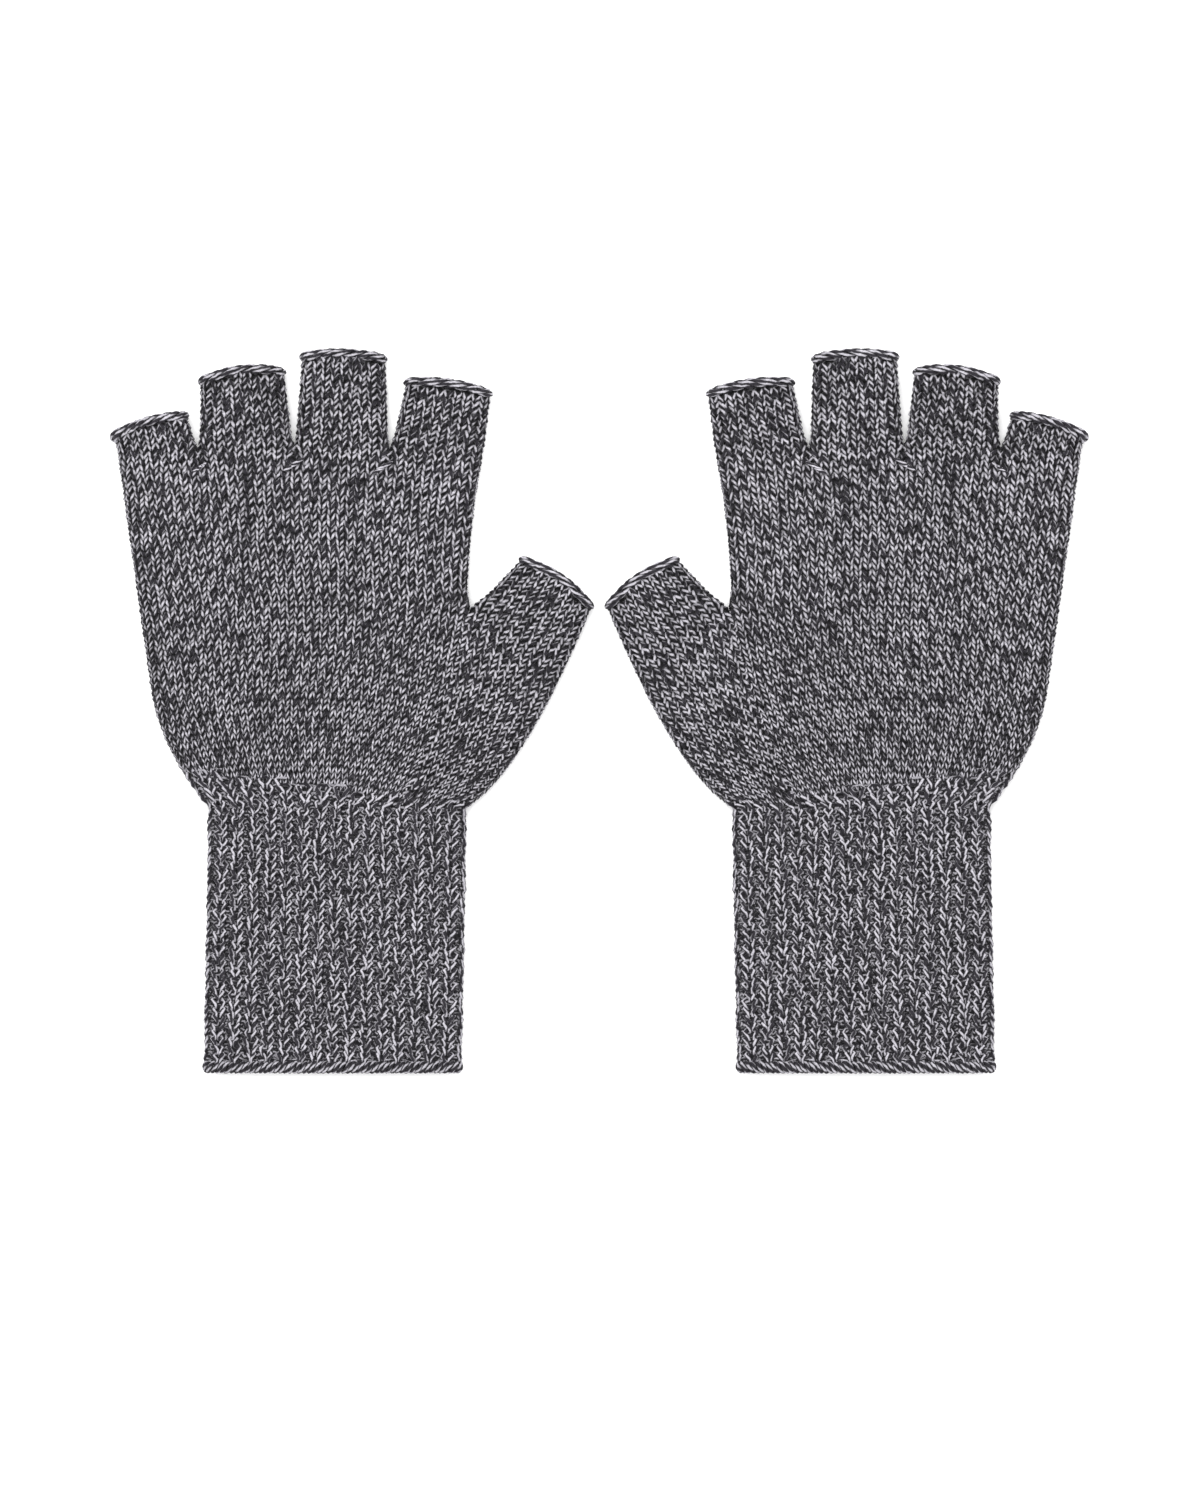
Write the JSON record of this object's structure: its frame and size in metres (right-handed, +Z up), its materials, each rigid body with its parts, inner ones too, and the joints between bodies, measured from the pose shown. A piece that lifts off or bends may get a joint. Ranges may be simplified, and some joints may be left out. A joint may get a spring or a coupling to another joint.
{
  "type": "fingerless gloves",
  "caption": "Pair of marled grey knitted fingerless gloves laid flat, with short open finger and thumb stubs and long straight cuffs.",
  "frame": {"origin": "on the table, under the middle of the pair's bounding box", "axes": "+X from the left-hand glove of the picture to the right-hand one, +Y towards the fingers, +Z up from the table"},
  "size_m": [0.2772, 0.2071, 0.0113],
  "materials": {
    "hand_knit": "matte marled yarn, plain knit",
    "cuff_knit": "matte marled yarn, coarse ribbed knit",
    "edge_yarn": "matte marled yarn, bound-off cord",
    "tack_yarn": "matte light yarn, single strand"
  },
  "bodies": {
    "left_hand_body": {"left_hand": "hand_knit", "left_little_ring_tack": "tack_yarn", "left_ring_middle_tack": "tack_yarn", "left_middle_index_tack": "tack_yarn"},
    "left_cuff_body": {"left_cuff": "cuff_knit", "left_hem": "cuff_knit"},
    "left_thumb_body": {"left_thumb": "hand_knit", "left_thumb_edge": "edge_yarn"},
    "left_little_body": {"left_little": "hand_knit", "left_little_edge": "edge_yarn"},
    "left_ring_body": {"left_ring": "hand_knit", "left_ring_edge": "edge_yarn"},
    "left_middle_body": {"left_middle": "hand_knit", "left_middle_edge": "edge_yarn"},
    "left_index_body": {"left_index": "hand_knit", "left_index_edge": "edge_yarn"},
    "right_hand_body": {"right_hand": "hand_knit", "right_little_ring_tack": "tack_yarn", "right_ring_middle_tack": "tack_yarn", "right_middle_index_tack": "tack_yarn"},
    "right_cuff_body": {"right_cuff": "cuff_knit", "right_hem": "cuff_knit"},
    "right_thumb_body": {"right_thumb": "hand_knit", "right_thumb_edge": "edge_yarn"},
    "right_little_body": {"right_little": "hand_knit", "right_little_edge": "edge_yarn"},
    "right_ring_body": {"right_ring": "hand_knit", "right_ring_edge": "edge_yarn"},
    "right_middle_body": {"right_middle": "hand_knit", "right_middle_edge": "edge_yarn"},
    "right_index_body": {"right_index": "hand_knit", "right_index_edge": "edge_yarn"}
  },
  "joints": [
    {"name": "left_cuff_fold", "type": "hinge", "parent": "left_hand_body", "child": "left_cuff_body", "pos_m": [-0.075, -0.027, 0.0098], "axis": [-1, 0, 0], "range_deg": [0, 90]},
    {"name": "left_thumb_fold", "type": "hinge", "parent": "left_hand_body", "child": "left_thumb_body", "pos_m": [-0.03755, 0.00025, 0.0098], "axis": [0, -1, 0], "range_deg": [0, 80]},
    {"name": "left_little_fold", "type": "hinge", "parent": "left_hand_body", "child": "left_little_body", "pos_m": [-0.1254, 0.0713, 0.0098], "axis": [1, 0, 0], "range_deg": [0, 85]},
    {"name": "left_ring_fold", "type": "hinge", "parent": "left_hand_body", "child": "left_ring_body", "pos_m": [-0.10015, 0.0713, 0.0098], "axis": [1, 0, 0], "range_deg": [0, 85]},
    {"name": "left_middle_fold", "type": "hinge", "parent": "left_hand_body", "child": "left_middle_body", "pos_m": [-0.0733, 0.0713, 0.0098], "axis": [1, 0, 0], "range_deg": [0, 85]},
    {"name": "left_index_fold", "type": "hinge", "parent": "left_hand_body", "child": "left_index_body", "pos_m": [-0.0467, 0.0713, 0.0098], "axis": [1, 0, 0], "range_deg": [0, 85]},
    {"name": "right_cuff_fold", "type": "hinge", "parent": "right_hand_body", "child": "right_cuff_body", "pos_m": [0.075, -0.027, 0.0098], "axis": [-1, 0, 0], "range_deg": [0, 90]},
    {"name": "right_thumb_fold", "type": "hinge", "parent": "right_hand_body", "child": "right_thumb_body", "pos_m": [0.03755, 0.00025, 0.0098], "axis": [0, 1, 0], "range_deg": [0, 80]},
    {"name": "right_little_fold", "type": "hinge", "parent": "right_hand_body", "child": "right_little_body", "pos_m": [0.1254, 0.0713, 0.0098], "axis": [1, 0, 0], "range_deg": [0, 85]},
    {"name": "right_ring_fold", "type": "hinge", "parent": "right_hand_body", "child": "right_ring_body", "pos_m": [0.10015, 0.0713, 0.0098], "axis": [1, 0, 0], "range_deg": [0, 85]},
    {"name": "right_middle_fold", "type": "hinge", "parent": "right_hand_body", "child": "right_middle_body", "pos_m": [0.0733, 0.0713, 0.0098], "axis": [1, 0, 0], "range_deg": [0, 85]},
    {"name": "right_index_fold", "type": "hinge", "parent": "right_hand_body", "child": "right_index_body", "pos_m": [0.0467, 0.0713, 0.0098], "axis": [1, 0, 0], "range_deg": [0, 85]},
    {"name": "right_glove_apart", "type": "slide", "parent": "left_hand_body", "child": "right_hand_body", "axis": [1, 0, 0], "range_m": [0, 0.1]}
  ]
}
